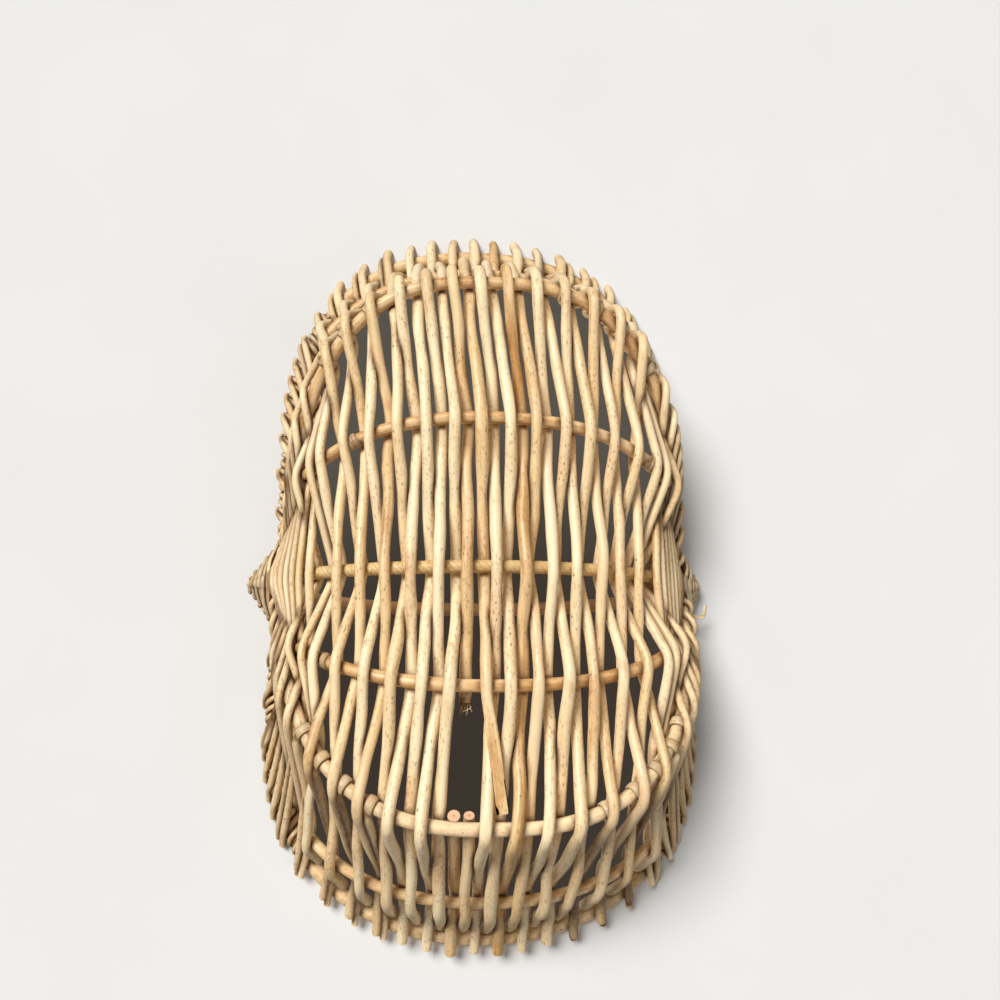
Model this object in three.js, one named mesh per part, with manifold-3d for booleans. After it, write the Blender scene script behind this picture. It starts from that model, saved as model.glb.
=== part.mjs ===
// Ribbed willow gathering basket, in millimetres.
// X runs along the basket, Y across it through the two lashings, Z up from the floor.
// Two hoops cross at the lashings, ribs hang from lashing to lashing, and rods weave over and under them.

import * as THREE from 'three';
import { mergeVertices } from 'three/addons/utils/BufferGeometryUtils.js';
import Module from 'manifold-3d';

const wasm = await Module();
wasm.setup();

// Sizes of the frame
const halfWidth = 134.5; // centre line to the crossing of the hoops
const rimHeight = 113; // centre of the rim hoop above the floor
const ribHeight = 9.8; // centre of the bottom ribs above the floor
const handleTop = 281; // centre of the handle hoop at its highest
const handleSquare = 0.88; // below 1 the handle's shoulders stand out squarer than an ellipse
const hoopOutset = 4.8; // handle hoop passes outside the crossing
const hoopLift = 0.6; // handle hoop rides this much above the bottom ribs
const rimInset = 4.7; // rim hoop passes inside the crossing
const endDrift = -0.01; // the hand-bent ends lean a little to one side
const bowlDepth = rimHeight - ribHeight;
const wallDepth = 42; // wall ribs below the rim

// Round sections
const rimRadius = 4.5;
const hoopRadius = 4.3;
const handleRadius = 5.4;
const endRibRadius = 3.9;
const bottomRibRadius = 3.7;
const wallRibRadius = 3.4;
const rodRadius = 3.25;
const sideRodRadius = 1.78;
const gap = 0.3; // clear space between pieces that touch
const lashingGap = 0.36; // the same inside a lashing

// Weave
const rodCount = 27;
const rodPitch = 7.7; // spacing of the rods along the handle hoop
const rodThinning = 1.25; // outer rods are this much thinner
const rodTaper = 0.07; // butt to tip, each way from the mean
const farTip = 11; // past the far rim, for a rod that ends outside it
const nearTip = 3;
const innerTip = 4; // cut ends tucked behind the rim
const lowerRows = 2; // rows of thin weaver on each side, carried by the bottom ribs too
const upperRows = 4; // rows above the ends of the bottom ribs
const firstSideRow = 108; // along the handle hoop from the middle of the bottom
const sidePitch = 8.8;
const upperStep = 0.5; // extra space below the upper rows
const wrapArc = Math.PI / 4; // step of a turn round the rim
const wallRibPast = 3.6; // wall ribs end this far past the last rod
const bottomRibPast = 1.6; // bottom ribs end this far past the last lower row

// Odd rods seen on the underside
const brokenRod = 11; // snapped just past the near bottom rib
const brokenPast = 11;
const shortRod = 12; // cut off just before the near end rib, where it lies outside its neighbours
const shortBefore = 14;
const shortLean = 3; // how far it leans where it crosses the near bottom rib
const shortAside = 2; // rods that its end has sprung across
const stubReach = 9; // how far a stub starts before the near end rib

// Lashings
const lashingAlong = 27;
const lashingUp = 25;
const lashingDeep = 17;
const lashingOut = 0.4; // middle of a lashing, outside the crossing
const lashingRound = 1.35; // 1 is a plain diamond, 2 an oval
const lashingPuff = 0.8;

// Facets
const ribSides = 6;
const rodSides = 5;
const hoopSides = 8;
const handleSteps = 24;
const fineSteps = 240;
const shaveFrom = 0.55; // share of a rib's half length where it starts to thin

// Peeled willow, from honey to cream
const willow = [0xd9b47c, 0xcfa768, 0xe2c392, 0xc79b5e, 0xdcb987];
const barkBrown = 0xb07f47;
const stripTan = 0xd2ac77;
const rodRough = 0.6;
const ribRough = 0.55;
const handledRough = 0.5; // smoother where hands and strips have polished it

const group = new THREE.Group();
group.name = 'gathering_basket';

function addMesh(name, geometry, colour, roughness) {
  geometry.computeVertexNormals();
  const material = new THREE.MeshStandardMaterial({ color: colour, roughness, metalness: 0 });
  const mesh = new THREE.Mesh(geometry, material);
  mesh.name = name;
  group.add(mesh);
}

function signedPower(value, exponent) {
  return Math.sign(value) * Math.abs(value) ** exponent;
}

// Ribs in order from the far rim to the near rim. A bigger square number bends more sharply at the corners.
// Tuck is how far the sides draw in just below a lashing.
// Spread is how far the rods fan out from the handle hoop, and shift how far they lean sideways there.
const ribs = [
  { reach: 238, depth: 0, span: halfWidth - rimInset, across: 2.31, along: 3.4, down: 2,
    belly: 5.6, tuck: 0, radius: rimRadius, tip: rimRadius, stop: 0, steps: 24, spread: 0.92, shift: -4.8 },
  { node: 'wall_rib_far', reach: 206, depth: wallDepth, span: halfWidth, across: 2.22, along: 3.35, down: 2.6,
    belly: 2, tuck: 0, radius: wallRibRadius, tip: 2, stop: 0, steps: 16, spread: 0.96, shift: -6.5 },
  { node: 'end_rib_far', reach: 172, depth: bowlDepth, span: halfWidth, across: 2.74, along: 1.9, down: 3.1,
    belly: -1.6, tuck: 9, radius: endRibRadius, tip: 2.4, stop: 17, steps: 26, spread: 1.03, shift: -8 },
  { node: 'bottom_rib_far', reach: 87.5, depth: bowlDepth, span: halfWidth, across: 2.27, along: 2.55,
    down: 2.62, belly: 0, tuck: 0, radius: bottomRibRadius, tip: 1.8, stop: 0, steps: 16,
    spread: 0.985, shift: 0.4 },
  { reach: 0, depth: bowlDepth - hoopLift, span: halfWidth + hoopOutset, across: 1.72, along: 2, down: 2.36,
    belly: -3, tuck: 0, radius: hoopRadius, tip: hoopRadius, stop: 0, steps: 20, spread: 1, shift: 0 },
  { node: 'bottom_rib_near', reach: -66.5, depth: bowlDepth, span: halfWidth, across: 2.27, along: 2.55,
    down: 2.62, belly: 0, tuck: 0, radius: bottomRibRadius, tip: 1.8, stop: 0, steps: 16,
    spread: 1.03, shift: -1 },
  { node: 'end_rib_near', reach: -142, depth: bowlDepth, span: halfWidth, across: 2.74, along: 1.9, down: 3.1,
    belly: -1.6, tuck: 4, radius: endRibRadius, tip: 2.4, stop: 17, steps: 26, spread: 1.08, shift: -7 },
  { node: 'wall_rib_near', reach: -191, depth: wallDepth, span: halfWidth, across: 2.22, along: 3.35,
    down: 2.6, belly: 7, tuck: 0, radius: wallRibRadius, tip: 2, stop: 0, steps: 16,
    spread: 0.94, shift: -7 },
  { reach: -220, depth: 0, span: halfWidth - rimInset, across: 1.98, along: 2.95, down: 2,
    belly: 16.9, tuck: 0, radius: rimRadius, tip: rimRadius, stop: 0, steps: 24, spread: 0.92, shift: -6.7 },
];
const hoop = ribs[4];
const tuckPeak = 256 / 27; // brings the deepest draw to 1

function bentLine(rib) {
  const points = [];
  for (let i = 0; i <= fineSteps; i += 1) {
    const turn = Math.PI * i / fineSteps;
    const sine = Math.abs(Math.sin(turn));
    const cosine = Math.cos(turn);
    const x = rib.reach * sine ** (2 / rib.along);
    const tucked = rib.tuck * tuckPeak * sine * (1 - sine) ** 3 * Math.sign(cosine);
    const bulge = rib.belly * 2 * sine * cosine - tucked;
    const y = -rib.span * signedPower(cosine, 2 / rib.across) - bulge + endDrift * x;
    const z = rimHeight - rib.depth * sine ** (2 / rib.down);
    points.push(new THREE.Vector3(x, y, z));
  }
  const line = new THREE.CatmullRomCurve3(points);
  line.arcLengthDivisions = 2 * fineSteps;
  return line;
}

// Lays a rib between two places on its line, measured from the middle
function layRib(rib, from, to) {
  rib.start = from;
  rib.run = to - from;
  rib.points = [];
  for (let i = 0; i <= rib.steps; i += 1) {
    const place = 0.5 + (from + rib.run * i / rib.steps) / (2 * rib.half);
    rib.points.push(rib.line.getPointAt(THREE.MathUtils.clamp(place, 0, 1)));
  }
}

for (const rib of ribs) {
  rib.line = bentLine(rib);
  rib.half = rib.line.getLength() / 2;
  layRib(rib, rib.stop - rib.half, rib.half - rib.stop);
}

// Where a row of the weave, named by its place on the handle hoop, meets a rib
function arcOn(rib, row) {
  const share = row / hoop.half;
  const spread = rib.spread * hoop.half / rib.half;
  return rib.half * share * (spread + (1 - spread) * share * share) + rib.shift * (1 - share * share);
}

function spotOn(rib, arc) {
  const place = (arc - rib.start) / rib.run * rib.steps;
  if (place < 0 || place >= rib.steps) {
    const share = 0.5 + arc / (2 * rib.half);
    return { point: rib.line.getPointAt(share), across: rib.line.getTangentAt(share) };
  }
  const first = rib.points[Math.floor(place)];
  const next = rib.points[Math.floor(place) + 1];
  const point = first.clone().lerp(next, place % 1);
  const across = next.clone().sub(first).normalize();
  return { point, across };
}

function ribRadius(rib, arc) {
  const fade = THREE.MathUtils.smoothstep(Math.abs(arc) / rib.half, shaveFrom, 1);
  return THREE.MathUtils.lerp(rib.radius, rib.tip, fade);
}

const steep = 0.8; // a rod that starts more upright than this takes its first corner from X

// A round rod through the given centres, closed at both ends, or joined into a ring
function rodGeometry(centres, radii, sides, ring = false) {
  const count = centres.length;
  const positions = [];
  const triangles = [];
  const ahead = (i) => centres[ring ? (i + 1) % count : Math.min(i + 1, count - 1)];
  const behind = (i) => centres[ring ? (i + count - 1) % count : Math.max(i - 1, 0)];
  const across = new THREE.Vector3(0, 0, 1);
  const tangent = new THREE.Vector3();
  for (let i = 0; i < count; i += 1) {
    const back = centres[i].clone().sub(behind(i)).normalize();
    tangent.copy(ahead(i)).sub(centres[i]).normalize().add(back).normalize();
    if (i === 0 && Math.abs(tangent.z) > steep) {
      across.set(1, 0, 0);
    }
    across.addScaledVector(tangent, -across.dot(tangent)).normalize();
    const third = tangent.clone().cross(across);
    for (let k = 0; k < sides; k += 1) {
      const angle = 2 * Math.PI * (k + 0.5) / sides;
      const spoke = across.clone().multiplyScalar(Math.cos(angle)).addScaledVector(third, Math.sin(angle));
      const corner = centres[i].clone().addScaledVector(spoke, radii[i]);
      positions.push(corner.x, corner.y, corner.z);
    }
  }
  const rings = ring ? count : count - 1;
  for (let i = 0; i < rings; i += 1) {
    for (let k = 0; k < sides; k += 1) {
      const a = i * sides + k;
      const b = i * sides + (k + 1) % sides;
      const c = ((i + 1) % count) * sides + k;
      const d = ((i + 1) % count) * sides + (k + 1) % sides;
      triangles.push(a, b, d, a, d, c);
    }
  }
  if (!ring) {
    for (let k = 1; k < sides - 1; k += 1) {
      triangles.push(0, k + 1, k);
      const last = (count - 1) * sides;
      triangles.push(last, last + k, last + k + 1);
    }
  }
  const geometry = new THREE.BufferGeometry();
  geometry.setAttribute('position', new THREE.Float32BufferAttribute(positions, 3));
  geometry.setIndex(triangles);
  return geometry;
}

function solidOf(geometry) {
  const bare = geometry.clone();
  bare.deleteAttribute('normal');
  bare.deleteAttribute('uv');
  const merged = mergeVertices(bare, 1e-4);
  const mesh = new wasm.Mesh({
    numProp: 3,
    vertProperties: new Float32Array(merged.attributes.position.array),
    triVerts: new Uint32Array(merged.index.array),
  });
  return new wasm.Manifold(mesh);
}

function geometryOf(solid) {
  const mesh = solid.getMesh();
  const geometry = new THREE.BufferGeometry();
  geometry.setAttribute('position', new THREE.Float32BufferAttribute(mesh.vertProperties, 3));
  geometry.setIndex(Array.from(mesh.triVerts));
  return geometry;
}

// Where a rod dips below the floor it is worn flat
const floorDeep = 20;
const floorBlock = new THREE.BoxGeometry(600, 400, floorDeep);
floorBlock.translate(0, 0, -floorDeep / 2);
const floorSolid = solidOf(floorBlock);

function wornFlat(geometry) {
  geometry.computeBoundingBox();
  return geometry.boundingBox.min.z < 0 ? geometryOf(solidOf(geometry).subtract(floorSolid)) : geometry;
}

// Hoops
function handlePoints() {
  const points = [];
  for (let i = 0; i <= fineSteps; i += 1) {
    const turn = Math.PI * i / fineSteps;
    const y = hoop.span * signedPower(Math.cos(turn), handleSquare);
    const z = rimHeight + (handleTop - rimHeight) * Math.abs(Math.sin(turn)) ** handleSquare;
    points.push(new THREE.Vector3(0, y, z));
  }
  const line = new THREE.CatmullRomCurve3(points);
  return line.getSpacedPoints(handleSteps).slice(1, -1);
}

function handleRadiusAt(point) {
  const rise = THREE.MathUtils.smoothstep(point.z, rimHeight, (rimHeight + handleTop) / 2);
  return THREE.MathUtils.lerp(hoopRadius, handleRadius, rise);
}

const rimPoints = ribs[0].points.concat(ribs[8].points.slice(1, -1).reverse());
const hoopPoints = hoop.points.concat(handlePoints());
const rimRadii = rimPoints.map(() => rimRadius);
const hoopRadii = hoopPoints.map(handleRadiusAt);
addMesh('rim_hoop', rodGeometry(rimPoints, rimRadii, hoopSides, true), willow[1], ribRough);
addMesh('handle_hoop', rodGeometry(hoopPoints, hoopRadii, hoopSides, true), barkBrown, handledRough);

// Ribs, the wall and bottom ribs ending just past the last row that they carry
const lastRod = (rodCount - 1) / 2 * rodPitch;
const lastLowerRow = firstSideRow + (lowerRows - 1) * sidePitch;
const firstUpperRow = lastLowerRow + sidePitch + upperStep;
const lastUpperRow = firstUpperRow + (upperRows - 1) * sidePitch;

function endRib(rib, row, past) {
  layRib(rib, arcOn(rib, -row) - past, arcOn(rib, row) + past);
}

endRib(ribs[1], lastRod, wallRibPast);
endRib(ribs[7], lastRod, wallRibPast);
endRib(ribs[3], lastLowerRow, bottomRibPast);
endRib(ribs[5], lastLowerRow, bottomRibPast);

// Each rib is shaved to a point at both ends
function ribRadii(rib) {
  return rib.points.map((point, i) => {
    const shaved = i === 0 || i === rib.steps;
    return shaved ? rib.tip : ribRadius(rib, rib.start + rib.run * i / rib.steps);
  });
}

ribs.forEach((rib, index) => {
  if (rib.node) {
    const colour = willow[index % willow.length];
    addMesh(rib.node, rodGeometry(rib.points, ribRadii(rib), ribSides), colour, ribRough);
  }
});

// Crossings of one row: the rod passes outside a rib or inside it, and lies flat against it for a short way.
// A weave lists the ribs crossed and the side of each, for a row outside the handle hoop: 1 is outside.
const rodWeave = { crossed: [0, 1, 2, 3, 4, 5, 6, 7, 8], sides: [1, -1, 1, -1, 1, -1, 1, -1, 1] };
const stubWeave = { crossed: rodWeave.crossed, sides: [1, -1, 1, -1, 1, -1, -1, -1, 1] };
const lowerWeave = { crossed: [0, 2, 3, 4, 5, 6, 8], sides: [-1, 1, -1, 1, -1, 1, -1] };
const upperWeave = { crossed: [0, 2, 3, 4, 5, 6, 8], sides: [1, -1, 0, 1, 0, -1, 1] };

function crossings(row, weave, outerAtHoop, radiusAt) {
  const spots = weave.crossed.map((index) => {
    const arc = arcOn(ribs[index], row);
    return { rib: ribs[index], arc, ...spotOn(ribs[index], arc) };
  });
  weave.sides.forEach((side, i) => {
    if (side === 0) {
      const between = spots[i - 1].point.clone().lerp(spots[i + 1].point, 0.5);
      spots[i].point.lerp(between, THREE.MathUtils.smoothstep(Math.abs(row), firstUpperRow, lastUpperRow));
    }
  });
  return spots.map((spot, i) => {
    const before = spots[Math.max(i - 1, 0)].point;
    const after = spots[Math.min(i + 1, spots.length - 1)].point;
    const along = after.clone().sub(before).normalize();
    const normal = spot.across.clone().cross(along).normalize();
    const fromBowl = spot.point.clone().sub(new THREE.Vector3(0, 0, rimHeight + bowlDepth));
    if (normal.dot(fromBowl) < 0) {
      normal.negate();
    }
    const outside = outerAtHoop ? weave.sides[i] : -weave.sides[i];
    const thickness = ribRadius(spot.rib, spot.arc);
    const reach = thickness + radiusAt(i / (spots.length - 1)) + gap;
    const centre = spot.point.clone().addScaledVector(normal, outside * reach);
    return { ...spot, centre, along, outside, thickness, place: i / (spots.length - 1) };
  });
}

function stepsOver(knot) {
  return knot.outside === 0 ? [knot.centre] : [
    knot.centre.clone().addScaledVector(knot.along, -knot.thickness),
    knot.centre.clone().addScaledVector(knot.along, knot.thickness),
  ];
}

function pastEnd(knot, way, length) {
  return knot.centre.clone().addScaledVector(knot.along, way * (knot.thickness + length));
}

// Whole willow rods from rim to rim
function tipAt(knot, outerTip) {
  return knot.outside > 0 ? outerTip : innerTip;
}

function rodSize(index) {
  const fromMiddle = Math.abs(index - (rodCount - 1) / 2) / ((rodCount - 1) / 2);
  const mean = rodRadius - rodThinning * fromMiddle ** 2;
  const butt = index % 4 < 2 ? 1 : -1;
  return (place) => mean * (1 + rodTaper * butt * (1 - 2 * place));
}

function addRod(name, knots, ends, radiusAt, colour) {
  const centres = knots.flatMap(stepsOver);
  const places = knots.flatMap((knot) => [knot.place, knot.place]);
  centres.unshift(ends[0]);
  places.unshift(knots[0].place);
  centres.push(ends[1]);
  places.push(knots[knots.length - 1].place);
  addMesh(name, wornFlat(rodGeometry(centres, places.map(radiusAt), rodSides)), colour, rodRough);
}

function rodName(index) {
  return `rod_${String(index + 1).padStart(2, '0')}`;
}

for (let i = 0; i < rodCount; i += 1) {
  const row = (i - (rodCount - 1) / 2) * rodPitch;
  const radiusAt = rodSize(i);
  const knots = crossings(row, rodWeave, i % 2 === 1, radiusAt);
  const farEnd = pastEnd(knots[0], -1, tipAt(knots[0], farTip));
  const nearEnd = pastEnd(knots[8], 1, tipAt(knots[8], nearTip));
  const colour = willow[(i * 3) % willow.length];
  if (i === brokenRod) {
    const kept = knots.slice(0, 6);
    addRod(rodName(i), kept, [farEnd, pastEnd(kept[5], 1, brokenPast)], radiusAt, colour);
    const stub = crossings(row, stubWeave, true, radiusAt).slice(6);
    addRod('rod_stub_broken', stub, [pastEnd(stub[0], -1, stubReach), nearEnd], radiusAt, colour);
  } else if (i === shortRod) {
    const leaning = crossings(row + shortLean, rodWeave, false, radiusAt)[5];
    const lying = crossings(row + shortAside * rodPitch, rodWeave, true, radiusAt)[6];
    const cutEnd = lying.centre.clone().addScaledVector(lying.along, -shortBefore);
    addRod(rodName(i), [...knots.slice(0, 5), leaning], [farEnd, cutEnd], radiusAt, colour);
    const stub = knots.slice(6);
    addRod('rod_stub_short', stub, [pastEnd(stub[0], -1, stubReach), nearEnd], radiusAt, colour);
  } else {
    addRod(rodName(i), knots, [farEnd, nearEnd], radiusAt, colour);
  }
}

// Thin side weavers go back and forth, turning over the rim at each end of a row
const up = new THREE.Vector3(0, 0, 1);

function rimTurn(from, to) {
  const turnRadius = (rimRadius + sideRodRadius + gap) / Math.cos(wrapArc / 2);
  const steps = Math.round(Math.PI / wrapArc);
  const first = from.outside > 0 ? -1 : 0;
  const last = from.outside > 0 ? steps : steps + 1;
  const centres = [];
  for (let i = first; i <= last; i += 1) {
    const share = THREE.MathUtils.clamp(i / steps, 0, 1);
    const spot = spotOn(from.rib, THREE.MathUtils.lerp(from.arc, to.arc, share));
    const out = spot.across.clone().cross(up).normalize();
    if (out.dot(spot.point) < 0) {
      out.negate();
    }
    const angle = Math.PI * i / steps;
    spot.point.addScaledVector(out, from.outside * turnRadius * Math.cos(angle));
    spot.point.addScaledVector(up, turnRadius * Math.sin(angle));
    centres.push(spot.point);
  }
  return centres;
}

function addSideWeaver(name, firstRow, rowCount, lowest, weave, side, colour) {
  const rows = [];
  for (let j = firstRow; j < firstRow + rowCount; j += 1) {
    const row = side * (lowest + sidePitch * (j - firstRow));
    const knots = crossings(row, weave, j % 2 === 1, () => sideRodRadius);
    rows.push(j % 2 === 0 ? knots : knots.reverse());
  }
  const centres = [];
  rows.forEach((knots, j) => {
    const way = (firstRow + j) % 2 === 0 ? 1 : -1;
    const last = knots.length - 1;
    const over = knots.map((knot) => (way > 0 ? stepsOver(knot) : stepsOver(knot).reverse()));
    if (j === 0) {
      centres.push(pastEnd(knots[0], -way, innerTip), ...over[0]);
    }
    centres.push(...over.slice(1, last).flat());
    if (j < rows.length - 1) {
      centres.push(...rimTurn(knots[last], rows[j + 1][0]));
    } else {
      centres.push(...over[last], pastEnd(knots[last], way, innerTip));
    }
  });
  const radii = centres.map(() => sideRodRadius);
  addMesh(name, rodGeometry(centres, radii, rodSides), colour, rodRough);
}

addSideWeaver('side_weaver_left_lower', 0, lowerRows, firstSideRow, lowerWeave, -1, willow[2]);
addSideWeaver('side_weaver_left_upper', lowerRows, upperRows, firstUpperRow, upperWeave, -1, willow[4]);
addSideWeaver('side_weaver_right_lower', 0, lowerRows, firstSideRow, lowerWeave, 1, willow[4]);
addSideWeaver('side_weaver_right_upper', lowerRows, upperRows, firstUpperRow, upperWeave, 1, willow[2]);

// Lashings: a diamond of flat strips wound round the crossing of the two hoops
function lashingPad(side) {
  const rounds = 20;
  const levels = 4;
  const positions = [];
  const triangles = [];
  const middle = side * (halfWidth + lashingOut);
  for (const face of [1, -1]) {
    const base = positions.length / 3;
    positions.push(0, middle + face * lashingDeep, rimHeight);
    for (let level = 1; level <= levels; level += 1) {
      const share = level / levels;
      for (let k = 0; k < rounds; k += 1) {
        const angle = 2 * Math.PI * k / rounds;
        const alongPart = Math.abs(Math.cos(angle)) / lashingAlong;
        const upPart = Math.abs(Math.sin(angle)) / lashingUp;
        const reach = share / (alongPart ** lashingRound + upPart ** lashingRound) ** (1 / lashingRound);
        const deep = lashingDeep * (1 - share ** 2) ** lashingPuff;
        positions.push(reach * Math.cos(angle), middle + face * deep, rimHeight + reach * Math.sin(angle));
      }
    }
    for (let k = 0; k < rounds; k += 1) {
      const next = (k + 1) % rounds;
      const fan = [base, base + 1 + next, base + 1 + k];
      triangles.push(...(face > 0 ? fan : fan.reverse()));
      for (let level = 0; level < levels - 1; level += 1) {
        const a = base + 1 + level * rounds + k;
        const b = base + 1 + level * rounds + next;
        const quad = [a, b, b + rounds, a, b + rounds, a + rounds];
        triangles.push(...(face > 0 ? quad : quad.reverse()));
      }
    }
  }
  const pad = new THREE.BufferGeometry();
  pad.setAttribute('position', new THREE.Float32BufferAttribute(positions, 3));
  pad.setIndex(triangles);
  return pad;
}

function wider(radii) {
  return radii.map((radius) => radius + lashingGap);
}

const endRibs = [ribs[2], ribs[6]];
const passing = endRibs.map((rib) => solidOf(rodGeometry(rib.points, wider(ribRadii(rib)), ribSides)));
passing.push(solidOf(rodGeometry(rimPoints, wider(rimRadii), hoopSides, true)));
passing.push(solidOf(rodGeometry(hoopPoints, wider(hoopRadii), hoopSides, true)));

function addLashing(name, side) {
  let pad = solidOf(lashingPad(side));
  for (const piece of passing) {
    pad = pad.subtract(piece);
  }
  addMesh(name, geometryOf(pad), stripTan, handledRough);
}

addLashing('lashing_left', -1);
addLashing('lashing_right', 1);

// The origin lies on the floor under the middle of the whole basket
const middle = new THREE.Box3().setFromObject(group).getCenter(new THREE.Vector3());
for (const mesh of group.children) {
  mesh.geometry.translate(-middle.x, -middle.y, 0);
}

export default group;
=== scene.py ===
import bpy
import math
from functools import partial
from itertools import product
import numpy as np
from mathutils import Matrix, Vector
from mathutils.kdtree import KDTree


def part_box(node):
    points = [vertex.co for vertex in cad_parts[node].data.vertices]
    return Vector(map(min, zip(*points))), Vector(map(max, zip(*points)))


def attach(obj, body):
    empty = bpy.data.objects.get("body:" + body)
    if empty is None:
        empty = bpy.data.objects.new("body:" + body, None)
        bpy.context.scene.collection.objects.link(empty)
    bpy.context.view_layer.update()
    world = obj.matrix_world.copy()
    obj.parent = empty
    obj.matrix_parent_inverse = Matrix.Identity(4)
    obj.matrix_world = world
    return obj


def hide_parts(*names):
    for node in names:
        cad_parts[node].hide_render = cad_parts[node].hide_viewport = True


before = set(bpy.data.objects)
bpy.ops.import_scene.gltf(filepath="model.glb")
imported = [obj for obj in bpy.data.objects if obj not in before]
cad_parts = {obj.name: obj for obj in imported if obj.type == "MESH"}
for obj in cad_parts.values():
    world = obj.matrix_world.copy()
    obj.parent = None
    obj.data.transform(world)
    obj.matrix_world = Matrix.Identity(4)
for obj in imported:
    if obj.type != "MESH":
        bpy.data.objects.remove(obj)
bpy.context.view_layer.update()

dice = np.random.default_rng(41)
scene = bpy.context.scene
scene.view_settings.view_transform = "Standard"

# The handle hoop stands at x = 0 of the weaving plan, so the middle of its box, in mm, places the plan
hoopLow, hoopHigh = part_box("handle_hoop")
planShift = np.array([(hoopLow[0] + hoopHigh[0]) * 500, (hoopLow[1] + hoopHigh[1]) * 500, 0.0])

# Basket plan, in millimetres
basket = {
    "halfWidth": 134.5,
    "rimHeight": 113.0,
    "ribHeight": 9.8,
    "wallDepth": 42.0,
    "hoopOutset": 4.8,
    "hoopLift": 0.6,
    "hoopPull": {-1: 3.5, 1: 12.0},  # the hoop turns in below the rim, on the right most
    "pullFrom": (5, 34),
    "pullTo": (50, 101),
    "rimInset": 4.7,
    "tuckPeak": 256 / 27,  # brings the tuck's curve to a peak of 1
    "endDrift": -0.01,
    "handleTop": 281.0,
    "handleSquare": 0.88,
    "handleRadius": 5.4,
    "handleTone": 0.62,
    "hoopCore": 3.0,
    "gap": 0.3,
    "shaveFrom": 0.55,
}
rimHeight = basket["rimHeight"]
bowlDepth = rimHeight - basket["ribHeight"]
bowlMiddle = np.array([0.0, 0.0, rimHeight + bowlDepth])
up = np.array([0.0, 0.0, 1.0])
rimSpan = basket["halfWidth"] - basket["rimInset"]
hoopSpan = basket["halfWidth"] + basket["hoopOutset"]
ribSpan = basket["halfWidth"]
wallDepth = basket["wallDepth"]

# reach, depth, span, across, along, down, belly, tuck, radius, tip, spread, shift
ribPlan = {
    "rimFar": (238, 0, rimSpan, 2.31, 3.4, 2, 5.6, 0, 4.5, 4.5, 0.92, -4.8),
    "wallFar": (206, wallDepth, ribSpan, 2.22, 3.35, 2.6, 2, 0, 3.4, 2, 0.96, -6.5),
    "endFar": (172, bowlDepth, ribSpan, 2.74, 1.9, 3.1, -1.6, 9, 3.9, 2.4, 1.03, -8),
    "bottomFar": (87.5, bowlDepth, ribSpan, 2.27, 2.55, 2.62, 0, 0, 3.7, 1.8, 1.02, 0.4),
    "hoop": (0, bowlDepth - basket["hoopLift"], hoopSpan, 1.72, 2, 2.36, -3, 0, 4.3, 4.3, 1, 0),
    "bottomNear": (-66.5, bowlDepth, ribSpan, 2.27, 2.55, 2.62, 0, 0, 3.7, 1.8, 1.03, -1),
    "endNear": (-142, bowlDepth, ribSpan, 2.74, 1.9, 3.1, -1.6, 4, 3.9, 2.4, 1.08, -7),
    "wallNear": (-191, wallDepth, ribSpan, 2.22, 3.35, 2.6, 7, 0, 3.4, 2, 0.94, -7),
    "rimNear": (-220, 0, rimSpan, 1.98, 2.95, 2, 16.9, 0, 4.5, 4.5, 0.92, -6.7),
}
ribOrder = list(ribPlan)


def unit(vector):
    return vector / max(np.linalg.norm(vector), 1e-9)


def unitRows(vectors):
    return vectors / np.linalg.norm(vectors, axis=1)[:, None]


def smoothRise(value, low, high):
    share = np.clip((value - low) / (high - low), 0, 1)
    return share * share * (3 - 2 * share)


def runLengths(points):
    return np.r_[0, np.cumsum(np.linalg.norm(np.diff(points, axis=0), axis=1))]


def bendRib(plan):
    reach, depth, span, across, along, down, belly, tuck, radius, tip, spread, shift = plan
    turn = np.linspace(0, math.pi, 1601)
    sine = np.abs(np.sin(turn))
    cosine = np.cos(turn)
    x = reach * sine ** (2 / along)
    y = -span * np.sign(cosine) * np.abs(cosine) ** (2 / across) - belly * 2 * sine * cosine
    y = y + tuck * basket["tuckPeak"] * sine * (1 - sine) ** 3 * np.sign(cosine) + basket["endDrift"] * x
    z = rimHeight - depth * sine ** (2 / down)
    points = np.stack([x, y, z], 1)
    arcs = runLengths(points)
    half = arcs[-1] / 2
    return {"points": points, "arcs": arcs - half, "half": half, "radius": radius, "tip": tip,
            "spread": spread, "shift": shift}


ribs = {name: bendRib(plan) for name, plan in ribPlan.items()}
hoop = ribs["hoop"]
below = rimHeight - hoop["points"][:, 2]
pulled = smoothRise(below, *basket["pullFrom"]) * (1 - smoothRise(below, *basket["pullTo"]))
handed = np.sign(hoop["points"][:, 1])
hoop["points"][:, 1] -= handed * pulled * np.where(handed < 0, basket["hoopPull"][-1], basket["hoopPull"][1])


def arcOn(rib, row):  # where a row, named by its place on the handle hoop, meets a rib
    share = row / hoop["half"]
    spread = rib["spread"] * hoop["half"] / rib["half"]
    return rib["half"] * share * (spread + (1 - spread) * share ** 2) + rib["shift"] * (1 - share ** 2)


def pointOn(rib, arc):
    return np.stack([np.interp(arc, rib["arcs"], rib["points"][:, k]) for k in range(3)], -1)


def acrossOn(rib, arc):
    return unit(pointOn(rib, arc + 1.5) - pointOn(rib, arc - 1.5))


def aheadOn(rib, arcs):
    return unitRows(pointOn(rib, arcs + 1.0) - pointOn(rib, arcs - 1.0))


def ribThick(rib, arc):
    fade = smoothRise(np.abs(arc) / rib["half"], basket["shaveFrom"], 1)
    return rib["radius"] + (rib["tip"] - rib["radius"]) * fade


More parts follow.
